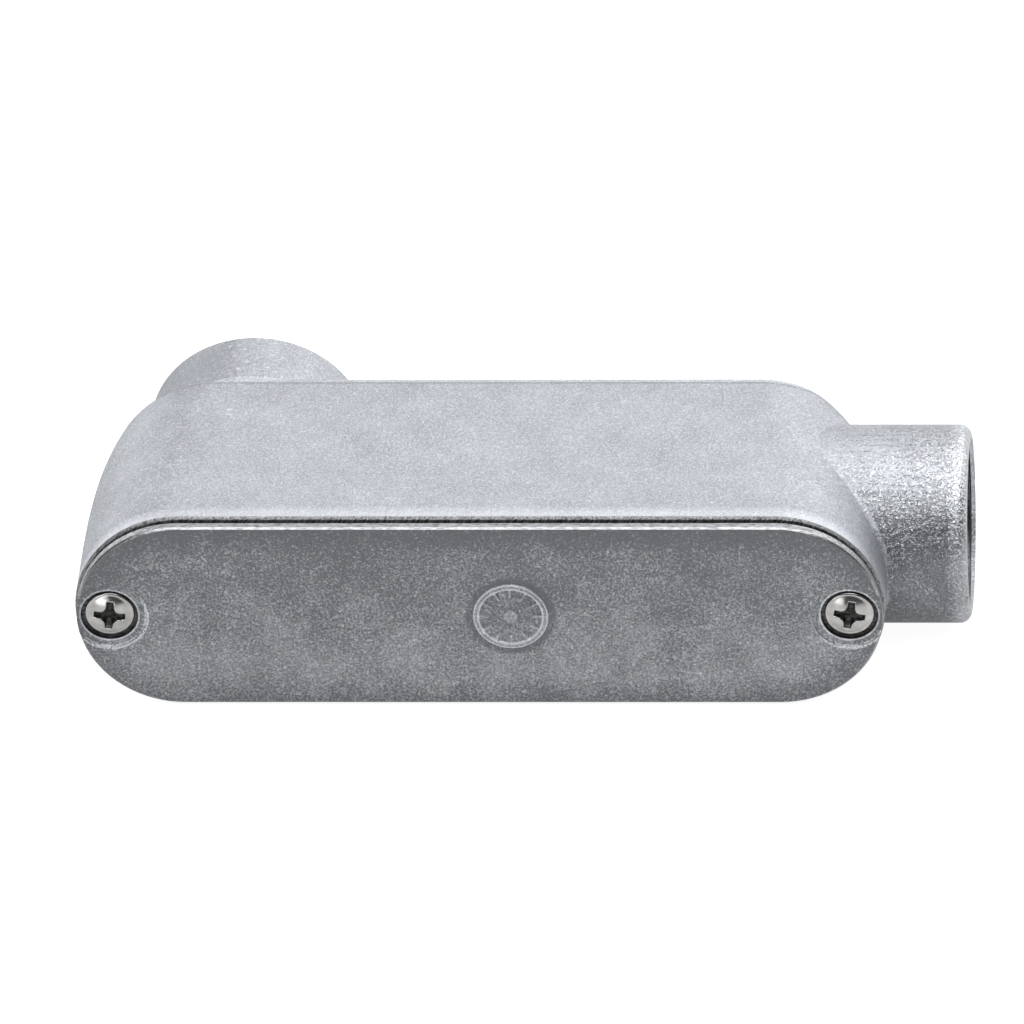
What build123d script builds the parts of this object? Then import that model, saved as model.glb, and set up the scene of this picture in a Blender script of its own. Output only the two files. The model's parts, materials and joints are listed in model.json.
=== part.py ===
from build123d import *
import os
from math import radians, tan

# An LB conduit body for 1 inch pipe. Millimetres. X runs along the body towards the end hub,
# Y from the cover to the back hub, Z across the body. The origin lies on the end hub's axis,
# where its full bore starts.

# Cast body
body_length = 161.4
body_width = 43.3
back_width = 43.2
rim_to_axis = 30.4
back_above_hub = 0.4
end_draft = 1.0
end_curl = 4.2
end_curl_power = 4
end_sections = 6
wall = 3.0
heel_length = 50.0
heel_drop = 4.6
shoulder_length = 20.0
shoulder_drop = 30.0
back_edge_radius = 0.9
rim_bevel = 0.5
hub_root_radius = 1.2
boss_diameter = 9.4
boss_depth = 12.0
tapped_hole = 4.9
tapped_depth = 10.5

# Hubs
end_hub_diameter = 39.6
end_hub_reach = 15.9
end_hub_edge_radius = 2.2
back_hub_diameter = 43.6
back_hub_reach = 15.0
back_hub_from_end = 32.7
back_hub_edge_chamfer = 0.7
hub_bore = 33.2
hub_bore_depth = 15.3
mouth_chamfer = 0.8
bushing_bore = 26.8
bushing_thickness = 2.4
bushing_edge_chamfer = 1.0
bushing_collar = 38.0
throat_wall = 3.2

# Cover and gasket
cover_length = 160.6
cover_width = 41.8
cover_thickness = 2.0
cover_edge_chamfer = 0.4
screw_from_end = 6.6
screw_hole = 5.4
recess_diameter = 11.4
recess_depth = 1.3
spot_diameter = 14.8
spot_depth = 0.35
gasket_thickness = 0.8
gasket_inset = 0.7
gasket_width = 4.4
eyelet_diameter = 10.4

# Screws
head_diameter = 9.9
head_height = 1.7
head_side = 1.0
shank_diameter = 4.8
shank_length = 11.5
shank_point = 0.7
cross_span = 6.8
cross_arm = 1.5
cross_depth = 1.3
cross_taper = 12.0
left_cross_turn = -6.0
right_cross_turn = -11.0

# Casting mark on the cover
mark_offset = 6.3
mark_diameter = 15.0
mark_ring = 1.2
mark_height = 0.35
mark_dot = 3.0
mark_ticks = 12
tick_length = 2.0
tick_width = 0.6

# Places worked out from the sizes above
right_x = mouth_chamfer - end_hub_reach
left_x = right_x - body_length
middle_x = (left_x + right_x) / 2
end_hub_radius = end_hub_diameter / 2
back_hub_radius = back_hub_diameter / 2
rim_y = -rim_to_axis
back_y = end_hub_radius + back_above_hub
body_depth = back_y - rim_y
heel_x = left_x + heel_length
shoulder_x = right_x - shoulder_length
back_hub_x = left_x + back_hub_from_end
back_mouth_y = back_y + back_hub_reach
bulkhead_x = -hub_bore_depth - bushing_thickness
bushing_y = back_mouth_y - mouth_chamfer - hub_bore_depth - bushing_thickness
cover_back_y = rim_y - gasket_thickness
cover_face_y = cover_back_y - cover_thickness
screw_seat_y = cover_face_y + recess_depth
screw_reach = cover_length / 2 - screw_from_end
screw_places = (middle_x - screw_reach, middle_x + screw_reach)


def facing_cover(y):
    """A sketch plane seen from the cover's side, with X to the right and Z up."""
    return Plane.XZ.offset(-y)


def facing_end_hub(x):
    """A sketch plane across the end hub, seen from its mouth."""
    return Plane.YZ.offset(x)


def along_cover_normal(x, y):
    """A frame on the body's middle line whose Z axis points out of the cover."""
    return Plane(origin=(x, y, 0), x_dir=(1, 0, 0), z_dir=(0, -1, 0))


def end_lean(depth):
    """How far each end leans in at a depth behind the rim: draft, then a growing curl."""
    return depth * tan(radians(end_draft)) + end_curl * (depth / body_depth) ** end_curl_power


def casting_form(inset):
    """The body's outer form, or its hollow where it lies one wall inside."""
    with BuildPart() as form:
        for section in range(end_sections):
            share = section / (end_sections - 1)
            depth = body_depth * share
            width = body_width + (back_width - body_width) * share
            with BuildSketch(facing_cover(rim_y + depth)):
                with Locations((middle_x, 0)):
                    SlotOverall(body_length - 2 * (end_lean(depth) + inset), width - 2 * inset)
        loft()
        with BuildSketch(Plane.XY):
            with BuildLine():
                heel = EllipticalCenterArc(
                    (heel_x, back_y - inset - heel_drop),
                    heel_length,
                    heel_drop,
                    start_angle=90,
                    arc_size=90,
                )
                shoulder = EllipticalCenterArc(
                    (shoulder_x, back_y - inset - shoulder_drop),
                    shoulder_length,
                    shoulder_drop,
                    start_angle=0,
                    arc_size=90,
                )
                Line(shoulder @ 1, heel @ 0)
                Polyline(heel @ 1, (left_x, rim_y), (right_x, rim_y), shoulder @ 0)
            make_face()
        extrude(amount=body_width, both=True, mode=Mode.INTERSECT)
    return form.part


def hub_cutter(run_out):
    """What is cut from a hub: chamfered mouth, pipe bore and eased bushing, along Z."""
    bore_r = hub_bore / 2
    bushing_r = bushing_bore / 2
    stop_z = -hub_bore_depth
    lip_z = stop_z - bushing_thickness
    with BuildPart() as cutter:
        with BuildSketch(Plane.XZ):
            Polygon(
                (bushing_r + bushing_edge_chamfer, stop_z),
                (bore_r, stop_z),
                (bore_r, 0),
                (bore_r + mouth_chamfer, mouth_chamfer),
                (0, mouth_chamfer),
                (0, lip_z - run_out),
                (bushing_r, lip_z - run_out),
                (bushing_r, stop_z - bushing_edge_chamfer),
                align=None,
            )
        revolve(axis=Axis.Z)
    return cutter.part


def cover_screw(cross_turn):
    """A pan head screw with a cross recess, along Z, its head's seat at zero."""
    head_r = head_diameter / 2
    dome = head_height - head_side
    dome_radius = (head_r**2 + dome**2) / (2 * dome)
    shank_r = shank_diameter / 2
    with BuildPart() as screw:
        with BuildSketch(Plane.XZ):
            with BuildLine():
                Polyline(
                    (0, head_height),
                    (0, -shank_length),
                    (shank_r - shank_point, -shank_length),
                    (shank_r, -shank_length + shank_point),
                    (shank_r, 0),
                    (head_r, 0),
                    (head_r, head_side),
                )
                RadiusArc((head_r, head_side), (0, head_height), -dome_radius)
            make_face()
        revolve(axis=Axis.Z)
        with BuildSketch(Plane.XY.offset(head_height)):
            for turn in (cross_turn, cross_turn + 90):
                Rectangle(cross_span, cross_arm, rotation=turn)
        extrude(amount=-cross_depth, taper=cross_taper, mode=Mode.SUBTRACT)
    return screw.part


outer_form = casting_form(0)
hollow_form = casting_form(wall)
end_hub_cutter = hub_cutter(wall)
back_hub_cutter = hub_cutter(heel_drop)

with BuildPart() as hollow:
    add(hollow_form)
    # The end hub's boss closes the hollow round the bore
    with BuildSketch(facing_end_hub(0)):
        Circle(end_hub_radius)
    extrude(amount=bulkhead_x, mode=Mode.SUBTRACT)
    # The throat behind the boss stays open where the hub rises out of the shoulder
    with BuildSketch(facing_end_hub(bulkhead_x)):
        Circle(end_hub_radius - throat_wall)
    extrude(amount=shoulder_x - bulkhead_x)

with BuildPart() as body:
    add(outer_form)
    # The rim's bevel flares out at 45 degrees, so it trims the form's front edge only
    with BuildSketch(facing_cover(rim_y)):
        with Locations((middle_x, 0)):
            SlotOverall(body_length - 2 * rim_bevel, body_width - 2 * rim_bevel)
    extrude(amount=-body_depth, taper=-45, mode=Mode.INTERSECT)
    back_edges = body.edges().filter_by(lambda edge: edge.bounding_box().max.Y > back_y - heel_drop)
    fillet(back_edges.filter_by(lambda edge: abs(edge.center().Z) > 1), back_edge_radius)
    with BuildSketch(facing_end_hub(mouth_chamfer)):
        Circle(end_hub_radius)
    extrude(amount=shoulder_x - mouth_chamfer)
    hub_root = body.edges(Select.NEW).filter_by(lambda edge: edge.bounding_box().max.X < 0)
    fillet(hub_root, hub_root_radius)
    fillet(body.edges().filter_by(GeomType.CIRCLE).sort_by(Axis.X)[-1], end_hub_edge_radius)
    with BuildSketch(facing_cover(back_mouth_y)):
        with Locations((back_hub_x, 0)):
            Circle(back_hub_radius)
    extrude(amount=back_hub_reach + heel_drop)
    chamfer(body.edges().filter_by(GeomType.CIRCLE).sort_by(Axis.Y)[-1], back_hub_edge_chamfer)
    add(hollow.part, mode=Mode.SUBTRACT)
    # A collar inside the back wall carries that hub's bushing
    with BuildSketch(facing_cover(back_y - wall / 2)):
        with Locations((back_hub_x, 0)):
            Circle(bushing_collar / 2)
    extrude(amount=back_y - wall / 2 - bushing_y)
    # Posts for the cover screws, webbed to the ends
    for screw_x, end_x in zip(screw_places, (left_x + wall / 2, right_x - wall / 2)):
        with BuildSketch(facing_cover(rim_y)):
            with Locations((screw_x, 0)):
                Circle(boss_diameter / 2)
            with Locations(((screw_x + end_x) / 2, 0)):
                Rectangle(abs(end_x - screw_x), boss_diameter)
        extrude(amount=-boss_depth)
        with Locations(along_cover_normal(screw_x, rim_y)):
            Hole(tapped_hole / 2, tapped_depth)
    with Locations(Plane(origin=(0, 0, 0), z_dir=(1, 0, 0))):
        add(end_hub_cutter, mode=Mode.SUBTRACT)
    with Locations(Plane(origin=(back_hub_x, back_mouth_y - mouth_chamfer, 0), z_dir=(0, 1, 0))):
        add(back_hub_cutter, mode=Mode.SUBTRACT)

with BuildPart() as cover:
    with BuildSketch(facing_cover(cover_back_y)):
        with Locations((middle_x, 0)):
            SlotOverall(cover_length, cover_width)
    extrude(amount=cover_thickness)
    chamfer(cover.edges().group_by(Axis.Y)[0], cover_edge_chamfer)
    for screw_x in screw_places:
        with Locations(along_cover_normal(screw_x, cover_face_y)):
            CounterBoreHole(screw_hole / 2, spot_diameter / 2, spot_depth)
            CounterBoreHole(screw_hole / 2, recess_diameter / 2, recess_depth)
    # A plain dial of raised strokes, as casters use to mark a mould
    with BuildSketch(facing_cover(cover_face_y)):
        with Locations((middle_x + mark_offset, 0)):
            Circle(mark_diameter / 2)
            Circle(mark_diameter / 2 - mark_ring, mode=Mode.SUBTRACT)
            with PolarLocations(mark_diameter / 2 - mark_ring - tick_length / 2, mark_ticks):
                Rectangle(tick_length, tick_width)
            Circle(mark_dot / 2)
    extrude(amount=mark_height)

with BuildPart() as gasket:
    with BuildSketch(facing_cover(rim_y)):
        with Locations((middle_x, 0)):
            SlotOverall(cover_length - 2 * gasket_inset, cover_width - 2 * gasket_inset)
            SlotOverall(
                cover_length - 2 * (gasket_inset + gasket_width),
                cover_width - 2 * (gasket_inset + gasket_width),
                mode=Mode.SUBTRACT,
            )
        for screw_x in screw_places:
            with Locations((screw_x, 0)):
                Circle(eyelet_diameter / 2)
                Circle(screw_hole / 2, mode=Mode.SUBTRACT)
    extrude(amount=gasket_thickness)

pieces = {"body": body.part, "cover": cover.part, "gasket": gasket.part}
screw_names = ("left_cover_screw", "right_cover_screw")
for name, screw_x, turn in zip(screw_names, screw_places, (left_cross_turn, right_cross_turn)):
    fresh_screw = cover_screw(turn)
    with BuildPart() as placed_screw:
        with Locations(along_cover_normal(screw_x, screw_seat_y)):
            add(fresh_screw)
    pieces[name] = placed_screw.part

os.makedirs("parts", exist_ok=True)
for name, piece in pieces.items():
    piece.label = name
    export_step(piece, f"parts/{name}.step")
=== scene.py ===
import json
import math
import bmesh
import bpy
from mathutils import Matrix, Vector


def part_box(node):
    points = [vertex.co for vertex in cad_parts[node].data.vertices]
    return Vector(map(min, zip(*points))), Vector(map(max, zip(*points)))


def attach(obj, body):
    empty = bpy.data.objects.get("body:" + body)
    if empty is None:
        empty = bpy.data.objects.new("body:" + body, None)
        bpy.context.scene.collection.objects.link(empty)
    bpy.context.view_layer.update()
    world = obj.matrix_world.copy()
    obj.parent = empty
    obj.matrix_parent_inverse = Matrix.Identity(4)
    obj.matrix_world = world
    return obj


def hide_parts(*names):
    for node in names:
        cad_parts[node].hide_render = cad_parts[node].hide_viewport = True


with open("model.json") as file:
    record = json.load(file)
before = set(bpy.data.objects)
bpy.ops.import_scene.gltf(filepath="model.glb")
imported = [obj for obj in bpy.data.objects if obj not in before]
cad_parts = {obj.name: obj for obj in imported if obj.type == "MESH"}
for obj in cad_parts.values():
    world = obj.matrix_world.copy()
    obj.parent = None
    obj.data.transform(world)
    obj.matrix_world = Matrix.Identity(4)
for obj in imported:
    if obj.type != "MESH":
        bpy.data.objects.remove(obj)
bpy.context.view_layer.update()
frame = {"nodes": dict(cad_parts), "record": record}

MM = 0.001

# Places read from the solids and from the hubs' mounts
body_low, body_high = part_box("body")
cover_low, cover_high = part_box("cover")
rim_y = body_low.y
cover_middle_x = (cover_low.x + cover_high.x) / 2
cover_end_radius = (cover_high.z - cover_low.z) / 2
cover_straight = (cover_high.x - cover_low.x) / 2 - cover_end_radius
hub_mounts = {mount["name"]: mount for mount in frame["record"]["mounts"]}
hub_bore_radius = hub_mounts["end_hub"]["dims"]["r_mm"] * MM
hub_bore_depth = hub_mounts["end_hub"]["dims"]["length_mm"] * MM
back_hub_x = hub_mounts["back_hub"]["pos_m"][0]
back_hub_stop_y = hub_mounts["back_hub"]["pos_m"][1] - hub_bore_depth

# Sizes of the solids that the dressed pieces keep to
end_hub_radius = 19.8 * MM
end_hub_reach = 15.8 * MM
back_hub_radius = 21.8 * MM
body_side_z = 21.65 * MM
back_y = 20.2 * MM
mark_height = 0.35 * MM
cover_face_y = cover_low.y + mark_height
mark_x = cover_middle_x + 6.3 * MM
mark_radius = 7.5 * MM
recess_radius = 5.7 * MM
spot_radius = 7.4 * MM
spot_depth = 0.35 * MM
head_diameter = 9.9 * MM
head_height = 1.7 * MM
screw_shank = 11.5 * MM
screw_places = {}
for screw in ("left_cover_screw", "right_cover_screw"):
    screw_low, screw_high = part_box(screw)
    screw_x = (screw_low.x + screw_high.x) / 2
    screw_places[screw] = Vector((screw_x, screw_high.y - screw_shank, 0))

# The domed crown of a screw's head, and where it starts above the seat
crown_radius, crown_foot = 4.4 * MM, 0.6 * MM


def add_node(tree, kind, sockets=None, **settings):
    """A new node: settings are its own options, and sockets its inputs, as links or values."""
    made = tree.nodes.new(kind)
    for key, value in settings.items():
        setattr(made, key, value)
    for key, value in (sockets or {}).items():
        if isinstance(value, bpy.types.NodeSocket):
            tree.links.new(value, made.inputs[key])
        else:
            made.inputs[key].default_value = value
    return made


# ---------------------------------------------------------------- materials


class Recipe:
    """A material being mixed: its nodes, and the shader that they feed."""

    def __init__(self, name):
        self.material = bpy.data.materials.new(name)
        self.material.use_nodes = True
        self.tree = self.material.node_tree
        self.tree.nodes.clear()
        self.output = self.node("ShaderNodeOutputMaterial")
        self.place = self.node("ShaderNodeTexCoord").outputs["Object"]

    def node(self, kind, sockets=None, **settings):
        return add_node(self.tree, kind, sockets, **settings)

    def calc(self, operation, first, second=0.0):
        return self.node("ShaderNodeMath", {0: first, 1: second}, operation=operation).outputs[0]

    def vector(self, operation, *values):
        """The outputs of a step with vectors: 0 is a vector, and Value a length."""
        inputs = dict(enumerate(values))
        return self.node("ShaderNodeVectorMath", inputs, operation=operation).outputs

    def axes(self):
        split = self.node("ShaderNodeSeparateXYZ", {"Vector": self.place}).outputs
        return split["X"], split["Y"], split["Z"]

    def stretched(self, scale, turn=(0, 0, 0)):
        """The object's coordinates, in metres, turned and then scaled for a pattern."""
        turned = self.node("ShaderNodeMapping", {"Vector": self.place, "Rotation": turn})
        scaled = {"Vector": turned.outputs["Vector"], "Scale": scale}
        return self.node("ShaderNodeMapping", scaled).outputs["Vector"]

    def from_axis(self, x):
        """Distance from the line along Y through x, at mid height."""
        offset = self.vector("SUBTRACT", self.place, (x, 0, 0))[0]
        across = self.vector("MULTIPLY", offset, (1, 0, 1))[0]
        return self.vector("LENGTH", across)["Value"]

    def diagonal(self, first, second):
        """The length of the diagonal over two sides."""
        squares = [self.calc("MULTIPLY", side, side) for side in (first, second)]
        return self.calc("SQRT", self.calc("ADD", *squares))

    def ramp(self, value, low, high, to_low=0.0, to_high=1.0):
        """A straight change from to_low to to_high while value goes from low to high."""
        return self.node(
            "ShaderNodeMapRange",
            {
                "Value": value,
                "From Min": low,
                "From Max": high,
                "To Min": to_low,
                "To Max": to_high,
            },
        ).outputs["Result"]

    def line(self, distance, middle, half):
        """A soft line where distance is within half of middle."""
        off = self.calc("ABSOLUTE", self.calc("SUBTRACT", distance, middle))
        return self.ramp(off, half, half * 0.4)

    def grain(self, size, detail, vector=None, distortion=0.0):
        """Noise whose grains are about size metres across."""
        return self.node(
            "ShaderNodeTexNoise",
            {
                "Vector": vector or self.place,
                "Scale": 1 / size,
                "Detail": detail,
                "Roughness": 0.55,
                "Distortion": distortion,
            },
        ).outputs["Fac"]

    def blend(self, *parts):
        """A sum of (value, weight) pairs."""
        total = 0.0
        for value, weight in parts:
            total = self.calc("ADD", self.calc("MULTIPLY", value, weight), total)
        return total

    def tint(self, share, dark, light):
        mixed = self.node("ShaderNodeMix", {"Factor": share}, data_type="RGBA")
        mixed.inputs["A"].default_value = (*dark, 1)
        mixed.inputs["B"].default_value = (*light, 1)
        return mixed.outputs["Result"]

    def bump(self, height, depth):
        return self.node("ShaderNodeBump", {"Height": height, "Distance": depth}).outputs["Normal"]

    def finish(self, **sockets):
        """The finished material, with its shader's sockets, written with _ for spaces."""
        named = {key.replace("_", " "): value for key, value in sockets.items()}
        shader = self.node("ShaderNodeBsdfPrincipled", named)
        self.tree.links.new(shader.outputs[0], self.output.inputs["Surface"])
        return self.material


def tumbled_skin(name, dark, light, worm=0.9, relief=0.075, wear_and_painted_light=None, rough=0.46):
    """Tumbled die-cast aluminium: curved crests and specks, lighter where the added share is high.

    worm is the crests' spacing and relief their height, in mm. The added share, a function of the
    mix, holds wear together with painted highlights and painted shade."""
    mix = Recipe(name)
    swirl = mix.grain(worm * MM, 1.0, distortion=0.9)
    crest = mix.ramp(mix.calc("PINGPONG", swirl, 0.5), 0.43, 0.5)
    speck = mix.ramp(mix.grain(worm * 0.5 * MM, 1.0), 0.42, 0.72)
    cloud = mix.ramp(mix.grain(9 * MM, 3.0), 0.3, 0.7)
    height = mix.blend((crest, 0.6), (speck, 0.4))
    shade = mix.blend((crest, 0.4), (speck, 0.45), (cloud, 0.2))
    if wear_and_painted_light is not None:
        shade = mix.calc("ADD", shade, wear_and_painted_light(mix))
    return mix.finish(
        Base_Color=mix.tint(shade, dark, light),
        Metallic=0.9,
        Roughness=mix.ramp(shade, 0, 1, rough + 0.08, rough - 0.08),
        Normal=mix.bump(height, relief * MM),
    )


def on_back_hub(x, y):
    """A place on the upper side of the back hub's wall, from x and y in mm."""
    across = x * MM - back_hub_x
    return (x * MM, y * MM, math.sqrt(back_hub_radius**2 - across**2))


def on_upper_side(x, y):
    """A place on the body's upper side, from x and y in mm."""
    return (x * MM, y * MM, body_side_z)


# Each nick's place, and how far it reaches
casting_nicks = [
    (on_back_hub(-146.5, 23.5), 0.5 * MM),
    (on_back_hub(-144.8, 26.0), 0.45 * MM),
    (on_back_hub(-147.6, 28.4), 0.5 * MM),
    (on_back_hub(-145.6, 30.6), 0.4 * MM),
    (on_back_hub(-148.6, 32.2), 0.45 * MM),
    (on_back_hub(-143.2, 22.0), 0.5 * MM),
    (on_upper_side(-147.4, 8.6), 0.45 * MM),
    (on_upper_side(-146.9, 8.6), 0.45 * MM),
    (on_upper_side(-147.6, 6.9), 0.4 * MM),
    (on_upper_side(-147.1, 6.9), 0.4 * MM),
]


def body_nicks_and_painted_light(mix):
    """Nicks rubbed bright, and painted highlights before the rim and along the back edge.

    The back hub's left flank and a thin line before the back edge are darker as painted shade."""
    x, y, _ = mix.axes()
    # Painted highlight on the lip's rounding before the rim
    before_rim = mix.ramp(y, rim_y + 4.2 * MM, rim_y + 1.4 * MM)
    # Painted highlight along the rounded back edge
    on_body = mix.ramp(y, back_y + 0.5 * MM, back_y + 0.3 * MM)
    on_back_edge = mix.ramp(y, back_y - 1.7 * MM, back_y - 1.3 * MM)
    back_edge = mix.calc("MULTIPLY", on_body, on_back_edge)
    # Painted shade: a thin dark line before the back edge
    painted_edge_shade = mix.line(y, back_y - 1.9 * MM, 0.45 * MM)
    # Painted shade on the back hub's left flank
    on_hub = mix.calc("SUBTRACT", 1.0, on_body)
    painted_flank_shade = mix.calc("MULTIPLY", on_hub, mix.line(x, back_hub_x - 12.5 * MM, 10 * MM))
    wear_and_painted_light = [(before_rim, 0.55), (back_edge, 0.4), (painted_flank_shade, -0.3), (painted_edge_shade, -0.35)]
    for nick, reach in casting_nicks:
        away = mix.vector("DISTANCE", mix.place, nick)["Value"]
        wear_and_painted_light.append((mix.ramp(away, reach, reach * 0.4), 0.9))
    return mix.blend(*wear_and_painted_light)


def end_hub_wear_and_painted_light(mix):
    """Rubbed bright just behind the mouth; painted shade lower down and a painted highlight along
    the top.
    """
    x, _, z = mix.axes()
    behind_mouth = mix.ramp(x, body_high.x - 4.2 * MM, body_high.x - 2.0 * MM)
    # Painted shade on the lower side, a painted highlight along the top
    upward = mix.ramp(z, 11 * MM, 17.5 * MM, -0.24, 0.1)
    return mix.blend((behind_mouth, 0.4), (upward, 1.0))


def cover_wear_and_painted_light(mix):
    """Raised marks are rubbed bright. Their edges and the lips of the screw seats get painted
    highlights, and a speckled line round each spot face is a painted highlight at its lower right.

    The border and the upper part are darker as painted shade, and a ring round the mark is darker."""
    x, y, z = mix.axes()
    from_middle = mix.calc("ABSOLUTE", mix.calc("SUBTRACT", x, cover_middle_x))
    past_straight = mix.calc("MAXIMUM", mix.calc("SUBTRACT", from_middle, cover_straight))
    from_spine = mix.diagonal(past_straight, z)
    # Painted shade towards the border
    border = mix.ramp(from_spine, cover_end_radius - 6 * MM, cover_end_radius - 1 * MM)
    # Painted shade over the upper part
    upper = mix.ramp(z, cover_low.z + 10 * MM, cover_high.z)
    proud = mix.ramp(y, cover_face_y - 0.05 * MM, cover_face_y - 0.25 * MM)
    from_mark = mix.from_axis(mark_x)
    halo = mix.line(from_mark, mark_radius + 0.5 * MM, 1.3 * MM)
    lip_half = 0.26 * MM
    wear_and_painted_light = [(border, -0.22), (upper, -0.28), (halo, -0.3), (proud, 0.25)]
    # Painted highlights on the mark's outer and inner edges
    for lip in (mark_radius - 0.12 * MM, mark_radius - 1.1 * MM):
        wear_and_painted_light.append((mix.line(from_mark, lip, lip_half), 0.75))
    chips = mix.ramp(mix.grain(0.42 * MM, 2.0), 0.42, 0.56)
    rightward, downward = 0.6, -0.8
    for place in screw_places.values():
        from_screw = mix.from_axis(place.x)
        # Painted highlight round each recess's lip
        seat_lip = mix.line(from_screw, recess_radius + 0.2 * MM, lip_half)
        spot_lip = mix.line(from_screw, spot_radius + 0.1 * MM, 0.55 * MM)
        speckled_spot_line = mix.calc("MULTIPLY", spot_lip, chips)
        slant, slant_start = mix.blend((x, rightward), (z, downward)), rightward * place.x
        lower_right = mix.ramp(slant, slant_start, slant_start + 5 * MM)
        wear_and_painted_light.append((seat_lip, 0.62))
        # Painted highlight where the spot face's lower right wall is lit
        wear_and_painted_light.append((mix.calc("MULTIPLY", speckled_spot_line, lower_right), 2.4))
        wear_and_painted_light.append((speckled_spot_line, 0.12))
    return mix.blend(*wear_and_painted_light)


def sanded_rim(name):
    """The casting's parting face, dressed on a belt that left slanting strokes, and darker towards
    the gasket gap as painted shade.
    """
    mix = Recipe(name)
    along_strokes = mix.stretched((1, 1, 0.16), (0, math.radians(-32), 0))
    sharp = mix.ramp(mix.grain(0.3 * MM, 2.0, vector=along_strokes), 0.3, 0.68)
    # Painted shade: darker towards the gasket gap
    near_edge = mix.ramp(mix.axes()[1], rim_y + 0.05 * MM, rim_y + 0.45 * MM)
    shade = mix.blend((sharp, 0.6), (near_edge, 0.2))
    return mix.finish(
        Base_Color=mix.tint(shade, (0.04, 0.04, 0.042), (0.74, 0.75, 0.77)),
        Metallic=0.85,
        Roughness=0.5,
        Normal=mix.bump(sharp, 0.06 * MM),
    )


def nicked_metal_and_painted_shade(name, dark, light, rough):
    """Bare metal of an edge or a cut, with fine nicks along it. With dark colours it stands for
    painted shade in recesses and threads.
    """
    mix = Recipe(name)
    along_edge = mix.stretched((0.35, 1, 1))
    nicks = mix.ramp(mix.grain(0.5 * MM, 2.0, vector=along_edge), 0.3, 0.6)
    return mix.finish(
        Base_Color=mix.tint(nicks, dark, light),
        Metallic=0.9,
        Roughness=mix.ramp(nicks, 0, 1, rough + 0.1, rough - 0.06),
        Normal=mix.bump(nicks, 0.015 * MM),
    )


def plated_steel(name):
    """Plated steel of a cover screw, finely marked, with a few stains."""
    mix = Recipe(name)
    marks = mix.grain(0.14 * MM, 2.0)
    stain = mix.ramp(mix.grain(1.8 * MM, 2.0), 0.3, 0.7)
    return mix.finish(
        Base_Color=mix.tint(stain, (0.52, 0.515, 0.505), (0.68, 0.67, 0.66)),
        Metallic=1.0,
        Roughness=mix.ramp(marks, 0.3, 0.7, 0.15, 0.22),
        Normal=mix.bump(marks, 0.004 * MM),
    )


def gasket_rubber(name):
    """Black moulded rubber."""
    mix = Recipe(name)
    skin = mix.grain(0.4 * MM, 2.0)
    return mix.finish(
        Base_Color=mix.tint(skin, (0.008, 0.008, 0.009), (0.02, 0.02, 0.021)),
        Roughness=mix.ramp(skin, 0.3, 0.7, 0.7, 0.85),
        Normal=mix.bump(skin, 0.04 * MM),
    )


body_metal = tumbled_skin(
    "body skin",
    (0.385, 0.40, 0.43),
    (0.76, 0.785, 0.83),
    wear_and_painted_light=body_nicks_and_painted_light,
)
hub_metal = tumbled_skin(
    "end hub skin",
    (0.25, 0.26, 0.276),
    (0.80, 0.825, 0.865),
    worm=1.1,
    relief=0.16,
    wear_and_painted_light=end_hub_wear_and_painted_light,
    rough=0.3,
)
cover_metal = tumbled_skin(
    "cover skin",
    (0.235, 0.244, 0.26),
    (0.86, 0.88, 0.915),
    worm=0.92,
    relief=0.1,
    wear_and_painted_light=cover_wear_and_painted_light,
)
# Painted shade: the hollows of the hubs are nearly black
bore_painted_shade_metal = tumbled_skin(
    "bore skin painted shade",
    (0.03, 0.03, 0.032),
    (0.2, 0.205, 0.215),
    worm=0.6,
    relief=0.05,
    rough=0.5,
)
rim_metal = sanded_rim("sanded rim")
edge_metal = nicked_metal_and_painted_shade("rubbed cover edge", (0.33, 0.338, 0.35), (0.52, 0.53, 0.545), 0.3)
# Painted shade: the cover's side is darker
side_painted_shade_metal = nicked_metal_and_painted_shade("cover side painted shade", (0.22, 0.227, 0.238), (0.56, 0.572, 0.59), 0.44)
# Painted shade: the screw recesses are nearly black
recess_painted_shade_metal = nicked_metal_and_painted_shade("screw recess painted shade", (0.03, 0.03, 0.03), (0.13, 0.13, 0.132), 0.45)
# Painted shade: the threads in the bores are dark
thread_painted_shade_metal = nicked_metal_and_painted_shade("cut thread painted shade", (0.05, 0.05, 0.052), (0.14, 0.142, 0.146), 0.4)
# Painted shade: the cross drives are nearly black
cross_painted_shade_metal = nicked_metal_and_painted_shade("cross recess painted shade", (0.02, 0.02, 0.02), (0.09, 0.088, 0.085), 0.4)
screw_metal = plated_steel("plated screw steel")
rubber = gasket_rubber("gasket rubber")


# ---------------------------------------------------------------- pieces


def add_object(name, data):
    """A new object, put in the scene."""
    made = bpy.data.objects.new(name, data)
    bpy.context.scene.collection.objects.link(made)
    return made


def place_piece(name, mesh, metals, stands_for=()):
    """A finished piece at the origin, riding on the part, in place of its solids."""
    piece = add_object(name, mesh)
    for metal in metals:
        mesh.materials.append(metal)
    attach(piece, "root")
    if stands_for:
        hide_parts(*stands_for)


def plain_mesh(rough):
    """The mesh that an object's modifiers make of it. The object itself is removed."""
    graph = bpy.context.evaluated_depsgraph_get()
    mesh = bpy.data.meshes.new_from_object(rough.evaluated_get(graph))
    bpy.data.objects.remove(rough)
    return mesh


def soften(rough, width, angle):
    """Rounds an object's edges that are sharper than angle degrees."""
    bevel = rough.modifiers.new("soften", "BEVEL")
    bevel.width = width
    bevel.segments = 2
    bevel.limit_method = "ANGLE"
    bevel.angle_limit = math.radians(angle)
    bevel.use_clamp_overlap = False


def merged_copy(node):
    """A solid's mesh as one closed skin."""
    skin = bmesh.new()
    skin.from_mesh(frame["nodes"][node].data)
    bmesh.ops.remove_doubles(skin, verts=skin.verts, dist=0.002 * MM)
    return skin


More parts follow.
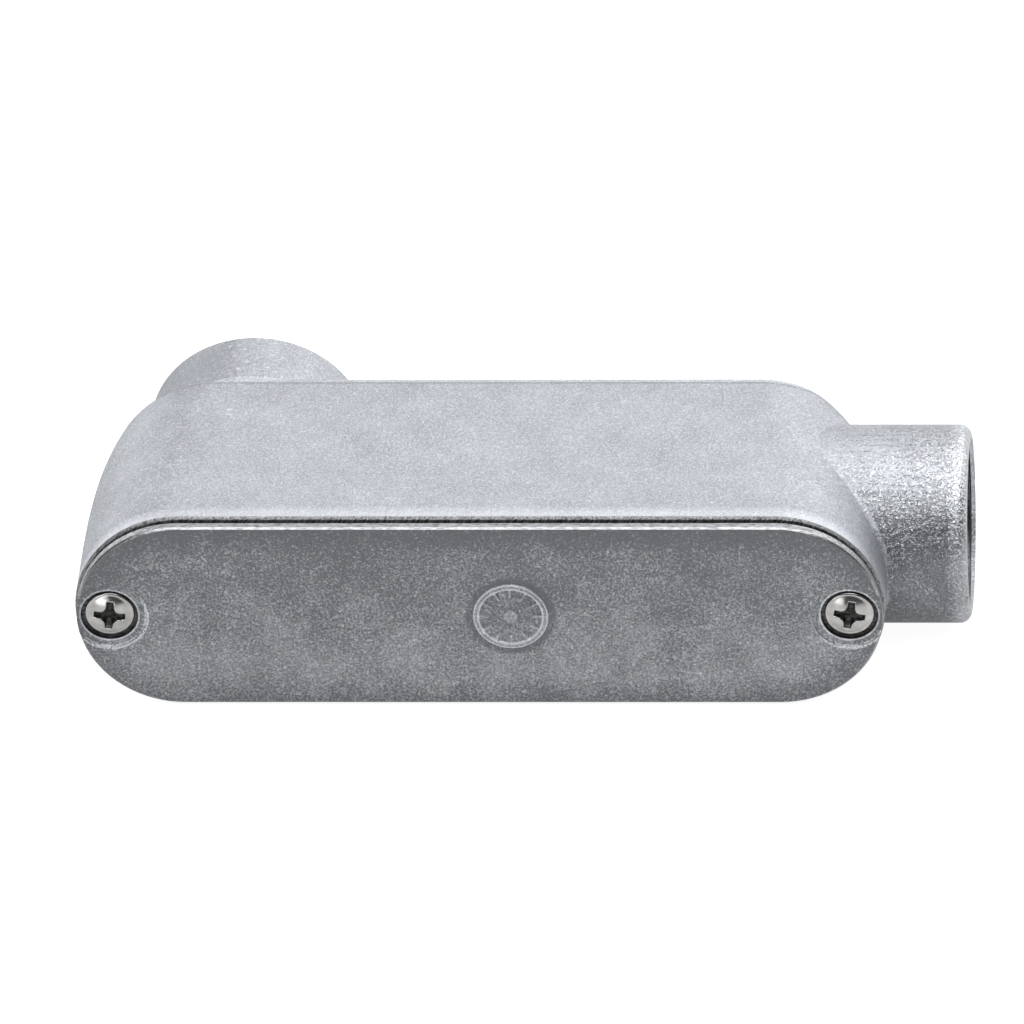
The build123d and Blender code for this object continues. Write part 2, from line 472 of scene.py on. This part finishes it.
def shaded(skin, name):
    """The skin as a smooth mesh, with its sharp edges kept."""
    mesh = bpy.data.meshes.new(name)
    skin.to_mesh(mesh)
    skin.free()
    # The loose triangles' own normals no longer fit the merged skin
    loose_normals = mesh.attributes.get("custom_normal")
    if loose_normals is not None:
        mesh.attributes.remove(loose_normals)
    for face in mesh.polygons:
        face.use_smooth = True
    mesh.set_sharp_from_angle(angle=math.radians(28))
    return mesh


def in_a_hub(middle):
    """Whether a place lies in the hollow of either hub, but not on the end hub's mouth chamfer."""
    reach = hub_bore_radius + 0.2 * MM
    by_end_hub = body_high.x - 20 * MM < middle.x < body_high.x - 0.5 * MM
    by_back_hub = middle.y > back_hub_stop_y - 3 * MM
    in_end = by_end_hub and math.hypot(middle.y, middle.z) < reach
    in_back = by_back_hub and math.hypot(middle.x - back_hub_x, middle.z) < reach
    return in_end or in_back


def set_hub_normals(mesh):
    """Gives both hubs' walls the normals of true cylinders."""
    normals = [Vector(corner.vector) for corner in mesh.corner_normals]
    foot_x = body_high.x - 17 * MM
    for face in mesh.polygons:
        spokes = []
        for corner, index in zip(face.loop_indices, face.vertices):
            at = mesh.vertices[index].co
            spokes.append(Vector((at.x - back_hub_x, 0, at.z)))
            spoke = Vector((0, at.y, at.z))
            on_end_wall = at.x > foot_x and abs(spoke.length - end_hub_radius) < 0.02 * MM
            if on_end_wall and face.normal.dot(spoke.normalized()) > 0.9:
                normals[corner] = spoke.normalized()
        # The back hub's wall goes as far as the body that cuts it
        on_back_wall = all(abs(spoke.length - back_hub_radius) < 0.05 * MM for spoke in spokes)
        if on_back_wall and abs(face.normal.y) < 0.1:
            for corner, spoke in zip(face.loop_indices, spokes):
                normals[corner] = spoke.normalized()
    mesh.normals_split_custom_set(normals)


def flush_back_hub(skin):
    """Brings the foot of the back hub's wall, which stands proud of the body's sides, level."""
    side_z = body_side_z - 0.05 * MM
    wall_z = back_hub_radius + 0.01 * MM
    for vert in skin.verts:
        near_axis = abs(vert.co.x - back_hub_x) < 4 * MM
        at_foot = vert.co.y < back_y - 0.9 * MM
        if near_axis and at_foot and side_z < abs(vert.co.z) <= wall_z:
            vert.co.z = math.copysign(side_z, vert.co.z)


def cast_body():
    """The casting's skin: its own over most of it, rippled on the end hub, sanded on the rim, and
    dark in the hollows as painted shade.
    """
    skin = merged_copy("body")
    flush_back_hub(skin)
    metals = [body_metal, hub_metal, rim_metal, bore_painted_shade_metal]
    for face in skin.faces:
        middle = face.calc_center_median()
        past_root = middle.x > body_high.x - end_hub_reach
        metal = body_metal
        # The hollows get the painted shade
        if in_a_hub(middle):
            metal = bore_painted_shade_metal
        elif past_root and math.hypot(middle.y, middle.z) > hub_bore_radius:
            metal = hub_metal
        elif middle.y < rim_y + 0.45 * MM and face.normal.y < -0.6:
            metal = rim_metal
        face.material_index = metals.index(metal)
    mesh = shaded(skin, "cast_body")
    set_hub_normals(mesh)
    place_piece("cast_body", mesh, metals, ["body"])


def cast_cover():
    """The cover's skin: matt face, rubbed edge, and a side and screw recesses darkened as painted
    shade.
    """
    skin = merged_copy("cover")
    bmesh.ops.dissolve_limit(
        skin,
        angle_limit=math.radians(0.5),
        verts=skin.verts,
        edges=skin.edges,
    )
    metals = [cover_metal, edge_metal, recess_painted_shade_metal, side_painted_shade_metal]
    screw_xs = [place.x for place in screw_places.values()]
    slack = 0.05 * MM
    for face in skin.faces:
        middle = face.calc_center_median()
        to_screw = min(math.hypot(middle.x - x, middle.z) for x in screw_xs)
        sunk = middle.y > cover_face_y + spot_depth + slack
        facing = abs(face.normal.y)
        metal = cover_metal
        if to_screw < recess_radius + 0.1 * MM and sunk:
            metal = recess_painted_shade_metal
        elif facing < 0.5 and middle.y > cover_face_y:
            metal = side_painted_shade_metal
        elif facing < 0.9 and middle.y > cover_face_y - slack:
            metal = edge_metal
        face.material_index = metals.index(metal)
    rough = add_object("rough cover", shaded(skin, "rough cover"))
    soften(rough, 0.1 * MM, 38)
    place_piece("cast_cover", plain_mesh(rough), metals, ["cover"])


def cross_outline(span, arm, corner):
    """A cross drive's outline, with wide inner corners, as points round its middle."""
    half, side = span / 2, arm / 2
    inner = side + corner
    corner_steps = 6
    points = []
    for quarter in range(4):
        turn = Matrix.Rotation(quarter * math.pi / 2, 2)
        local = [(half, -side), (half, side)]
        for step in range(corner_steps + 1):
            swing = math.pi * 1.5 - step / corner_steps * math.pi / 2
            local.append((inner + corner * math.cos(swing), inner + corner * math.sin(swing)))
        points.extend(turn @ Vector(point) for point in local)
    return points


def lathe(profile):
    """A closed solid turned round Z from (radius, height) points that start and end on it."""
    steps = 96
    turns = [2 * math.pi * step / steps for step in range(steps)]
    solid = bmesh.new()
    rings = []
    for radius, height in profile:
        ends = turns if radius else turns[:1]
        places = [(radius * math.cos(a), radius * math.sin(a), height) for a in ends]
        rings.append([solid.verts.new(place) for place in places])
    for lower, upper in zip(rings, rings[1:]):
        for step in range(steps):
            near, far = step, (step + 1) % steps
            corners = [
                lower[near % len(lower)],
                lower[far % len(lower)],
                upper[far % len(upper)],
                upper[near % len(upper)],
            ]
            corners = list(dict.fromkeys(corners))
            if len(corners) > 2:
                solid.faces.new(corners)
    bmesh.ops.recalc_face_normals(solid, faces=solid.faces)
    return solid


def crown_height(radius):
    """How high the screw head's crown stands at a radius."""
    return crown_foot + (head_height - crown_foot) * (1 - (radius / crown_radius) ** 2)


def head_profile():
    """Half of the screw's outline: shank, upright side, rounded corner and domed crown."""
    radius = head_diameter / 2
    shank, point = 2.4 * MM, 0.7 * MM
    round_in, round_up = radius - crown_radius, 0.35 * MM
    side = crown_foot - round_up
    corner_steps, crown_steps = 8, 14
    profile = [
        (0, -screw_shank),
        (shank - point, -screw_shank),
        (shank, point - screw_shank),
        (shank, 0),
        (radius - 0.15 * MM, 0),
        (radius, 0.12 * MM),
    ]
    for step in range(corner_steps + 1):
        swing = math.radians(90 * step / corner_steps)
        inward, upward = round_in * (1 - math.cos(swing)), round_up * math.sin(swing)
        profile.append((radius - inward, side + upward))
    for step in range(1, crown_steps + 1):
        at = crown_radius * (1 - step / crown_steps)
        profile.append((at, crown_height(at)))
    return profile


def cross_cutter():
    """The tapered cross that is cut out of a head."""
    cutter = bmesh.new()
    mouth_z, floor_z = head_height + 0.4 * MM, head_height - 1.25 * MM
    mouth = cross_outline(span=7.7 * MM, arm=1.75 * MM, corner=1.75 * MM)
    floor = cross_outline(span=5.4 * MM, arm=1.2 * MM, corner=1.0 * MM)
    upper = [cutter.verts.new((x, y, mouth_z)) for x, y in mouth]
    lower = [cutter.verts.new((x, y, floor_z)) for x, y in floor]
    tip = cutter.verts.new((0, 0, floor_z - 0.45 * MM))
    cutter.faces.new(upper)
    for step in range(len(upper)):
        after = (step + 1) % len(upper)
        cutter.faces.new((upper[step], lower[step], lower[after], upper[after]))
        cutter.faces.new((lower[step], tip, lower[after]))
    bmesh.ops.recalc_face_normals(cutter, faces=cutter.faces)
    return cutter


def pan_head_screw(name, turn):
    """A pan head screw with a cross drive, turned by turn degrees, dressed over its solid."""
    facing_out = Matrix.Rotation(math.radians(90), 4, "X")
    turned = Matrix.Rotation(math.radians(turn), 4, "Z")
    stand = Matrix.Translation(screw_places[name]) @ facing_out @ turned
    helpers = []
    for label, solid in (("rough head", lathe(head_profile())), ("cross cutter", cross_cutter())):
        solid.transform(stand)
        mesh = bpy.data.meshes.new(label)
        solid.to_mesh(mesh)
        solid.free()
        helpers.append(add_object(label, mesh))
    rough, cutter = helpers
    cut = rough.modifiers.new("cross", "BOOLEAN")
    cut.operation, cut.object, cut.solver = "DIFFERENCE", cutter, "EXACT"
    soften(rough, 0.09 * MM, 40)
    mesh = plain_mesh(rough)
    bpy.data.objects.remove(cutter)
    mesh.materials.clear()
    metals = [screw_metal, cross_painted_shade_metal]
    upright = stand.inverted()
    for face in mesh.polygons:
        face.use_smooth = True
        middle = upright @ face.center
        radius = math.hypot(middle.x, middle.y)
        under_crown = 0.05 * MM < middle.z < crown_height(radius) - 0.13 * MM
        # The cross drive's walls get the painted shade
        in_cross = radius < 4.1 * MM and under_crown
        face.material_index = metals.index(cross_painted_shade_metal if in_cross else screw_metal)
    mesh.set_sharp_from_angle(angle=math.radians(35))
    piece = name.replace("cover_screw", "pan_head_screw")
    place_piece(piece, mesh, metals, [name])


# ---------------------------------------------------------------- threads


def thread_tree():
    """Geometry nodes for a pipe thread: a ridge wound inside a bore, then laid along the hub.

    Also gives each input's identifier by its name."""
    tree = bpy.data.node_groups.new("pipe thread", "GeometryNodeTree")
    kinds = {
        "Pitch": "NodeSocketFloat",
        "Turns": "NodeSocketFloat",
        "Bore Radius": "NodeSocketFloat",
        "Ridge Depth": "NodeSocketFloat",
        "Place": "NodeSocketVector",
        "Turned": "NodeSocketVector",
        "Metal": "NodeSocketMaterial",
    }
    identifiers = {}
    for name, kind in kinds.items():
        made = tree.interface.new_socket(name, in_out="INPUT", socket_type=kind)
        identifiers[name] = made.identifier
    tree.interface.new_socket("Geometry", in_out="OUTPUT", socket_type="NodeSocketGeometry")
    given = add_node(tree, "NodeGroupInput").outputs

    def step(result, kind, sockets=None, **settings):
        return add_node(tree, kind, sockets, **settings).outputs[result]

    def calc(operation, first, second):
        return step(0, "ShaderNodeMath", {0: first, 1: second}, operation=operation)

    steps_per_turn = 72
    foot_share, crest_share, run_in_share = 1.75, 0.12, 0.05
    winding = step(
        "Curve",
        "GeometryNodeCurveSpiral",
        {
            "Resolution": steps_per_turn,
            "Rotations": given["Turns"],
            "Start Radius": given["Bore Radius"],
            "End Radius": given["Bore Radius"],
            "Height": calc("MULTIPLY", given["Pitch"], given["Turns"]),
        },
    )
    upright = step("Curve", "GeometryNodeSetCurveNormal", {"Curve": winding}, mode="Z_UP")
    along = step("Factor", "GeometryNodeSplineParameter")
    from_end = calc("MINIMUM", along, calc("SUBTRACT", 1.0, along))
    run_in = step("Result", "ShaderNodeMapRange", {"Value": from_end, "From Max": run_in_share})
    tapered = step("Curve", "GeometryNodeSetCurveRadius", {"Curve": upright, "Radius": run_in})
    ridge = step(
        "Curve",
        "GeometryNodeCurvePrimitiveQuadrilateral",
        {
            "Height": calc("MULTIPLY", given["Ridge Depth"], 2.0),
            "Bottom Width": calc("MULTIPLY", given["Pitch"], foot_share),
            "Top Width": calc("MULTIPLY", given["Pitch"], crest_share),
            "Offset": 0.0,
        },
        mode="TRAPEZOID",
    )
    swept = step(
        "Mesh",
        "GeometryNodeCurveToMesh",
        {"Curve": tapered, "Profile Curve": ridge, "Fill Caps": True},
    )
    laid = step(
        "Geometry",
        "GeometryNodeTransform",
        {"Geometry": swept, "Translation": given["Place"], "Rotation": given["Turned"]},
    )
    real = step("Geometry", "GeometryNodeRealizeInstances", {"Geometry": laid})
    painted = step(
        "Geometry",
        "GeometryNodeSetMaterial",
        {"Geometry": real, "Material": given["Metal"]},
    )
    tree.links.new(painted, add_node(tree, "NodeGroupOutput").inputs[0])
    return tree, identifiers


def hub_thread(name, tree, identifiers, values):
    """One hub's thread, as a plain mesh."""
    holder = add_object("thread holder", bpy.data.meshes.new("thread holder"))
    winder = holder.modifiers.new("thread", "NODES")
    winder.node_group = tree
    for key, value in values.items():
        winder[identifiers[key]] = value
    mesh = plain_mesh(holder)
    solid = bmesh.new()
    solid.from_mesh(mesh)
    bmesh.ops.recalc_face_normals(solid, faces=solid.faces)
    solid.to_mesh(mesh)
    solid.free()
    mesh.materials.clear()
    place_piece(name, mesh, [thread_painted_shade_metal])


cast_body()
cast_cover()
pan_head_screw("left_cover_screw", -6)
pan_head_screw("right_cover_screw", -11)

gasket = frame["nodes"]["gasket"]
gasket.data.materials.clear()
gasket.data.materials.append(rubber)

thread, thread_inputs = thread_tree()
# The threads' metal is dark as painted shade
thread_sizes = {
    "Pitch": 2.209 * MM,
    "Turns": 6.2,
    "Bore Radius": hub_bore_radius,
    "Ridge Depth": 1.35 * MM,
    "Metal": thread_painted_shade_metal,
}
# Each thread starts a little way out from the stop at its bore's inner end
stop_gap = 0.9 * MM
quarter_turn = math.radians(90)
along_end_hub = {"Place": (stop_gap - hub_bore_depth, 0, 0), "Turned": (0, quarter_turn, 0)}
along_back_hub = {
    "Place": (back_hub_x, back_hub_stop_y + stop_gap, 0),
    "Turned": (-quarter_turn, 0, 0),
}
hub_thread("end_hub_thread", thread, thread_inputs, {**thread_sizes, **along_end_hub})
hub_thread("back_hub_thread", thread, thread_inputs, {**thread_sizes, **along_back_hub})


# ---------------------------------------------------------------- studio


def studio_floor():
    """A pale floor that the camera sees as white, with a faint shadow.

    Gloss on the part shows a share of that white, less of it further from the part."""
    grey, lift = 0.5, 0.9
    near, far, near_share, far_share = 0.06, 0.36, 0.3, 0.04
    half_size, gap = 30.0, 0.02 * MM
    mix = Recipe("studio floor")
    plain = mix.node("ShaderNodeBsdfDiffuse", {"Color": (grey, grey, grey, 1)}).outputs[0]
    glow = mix.node("ShaderNodeEmission", {"Color": (1, 1, 1, 1), "Strength": lift}).outputs[0]
    paths = mix.node("ShaderNodeLightPath").outputs
    x, y, _ = mix.axes()
    gloss_share = mix.ramp(mix.diagonal(x, y), near, far, near_share, far_share)
    in_gloss = mix.calc("MULTIPLY", paths["Is Glossy Ray"], gloss_share)
    direct = mix.calc("MAXIMUM", paths["Is Camera Ray"], paths["Is Transmission Ray"])
    seen = mix.calc("MAXIMUM", in_gloss, direct)
    both = mix.node("ShaderNodeAddShader", {0: plain, 1: glow}).outputs[0]
    shown = mix.node("ShaderNodeMixShader", {0: seen, 1: plain, 2: both}).outputs[0]
    mix.tree.links.new(shown, mix.output.inputs["Surface"])
    sheet = bmesh.new()
    height = body_low.z - gap
    corners = ((-1, -1), (1, -1), (1, 1), (-1, 1))
    places = [(x * half_size, y * half_size, height) for x, y in corners]
    sheet.faces.new([sheet.verts.new(place) for place in places])
    mesh = bpy.data.meshes.new("studio_floor")
    sheet.to_mesh(mesh)
    sheet.free()
    mesh.materials.append(mix.material)
    floor = add_object("studio_floor", mesh)


def softbox(name, power, size, position):
    """A lit panel, in watts and metres, aimed at the part's middle."""
    lamp = bpy.data.lights.new(name, "AREA")
    lamp.shape = "RECTANGLE"
    lamp.size, lamp.size_y = size
    lamp.energy = power
    holder = add_object(name, lamp)
    holder.location = position
    toward = Vector((-0.088, 0, 0)) - Vector(position)
    holder.rotation_euler = toward.to_track_quat("-Z", "Y").to_euler()


def studio_world(level):
    """Faint bluish light from all round."""
    world = bpy.data.worlds.new("studio")
    bpy.context.scene.world = world
    world.use_nodes = True
    sky = world.node_tree.nodes["Background"]
    sky.inputs["Color"].default_value = (level, level, level * 1.03, 1)
    sky.inputs["Strength"].default_value = 1.0


def photo_camera():
    """The photograph's view: a long lens from the front, right and above."""
    azimuth, elevation, roll = (math.radians(degrees) for degrees in (4.55, 33.5, -2.53))
    distance, focal_pixels, image_pixels = 5.675, 28422, 1024
    look_at = Vector((-0.089, 0, 0))
    seen_right, seen_down = 10.3, 11.6
    flat = math.cos(elevation)
    back = Vector((math.sin(azimuth) * flat, -math.cos(azimuth) * flat, math.sin(elevation)))
    level = Vector((math.cos(azimuth), math.sin(azimuth), 0))
    rise = back.cross(level)
    right = math.cos(roll) * level + math.sin(roll) * rise
    up = math.cos(roll) * rise - math.sin(roll) * level
    per_pixel = distance / focal_pixels
    aim = look_at - right * seen_right * per_pixel + up * seen_down * per_pixel
    lens = bpy.data.cameras.new("photo camera")
    lens.sensor_width = 36
    lens.lens = focal_pixels / image_pixels * lens.sensor_width
    lens.clip_start, lens.clip_end = 0.05, 100
    camera = add_object("photo camera", lens)
    turned = Matrix((right, up, back)).transposed().to_4x4()
    camera.matrix_world = Matrix.Translation(aim + back * distance) @ turned
    bpy.context.scene.camera = camera


studio_floor()
softbox("overhead softbox", 20.5, (2.0, 1.5), (0.0, -0.04, 1.05))
softbox("back panel", 18.5, (3.2, 1.4), (1.0, 1.4, 0.66))
softbox("left panel", 5.5, (1.3, 0.9), (-1.05, 0.85, 0.38))
softbox("left card", 0.5, (0.4, 0.22), (-0.45, -0.75, 0.09))
studio_world(0.07)
photo_camera()
bpy.context.scene.view_settings.view_transform = "Standard"
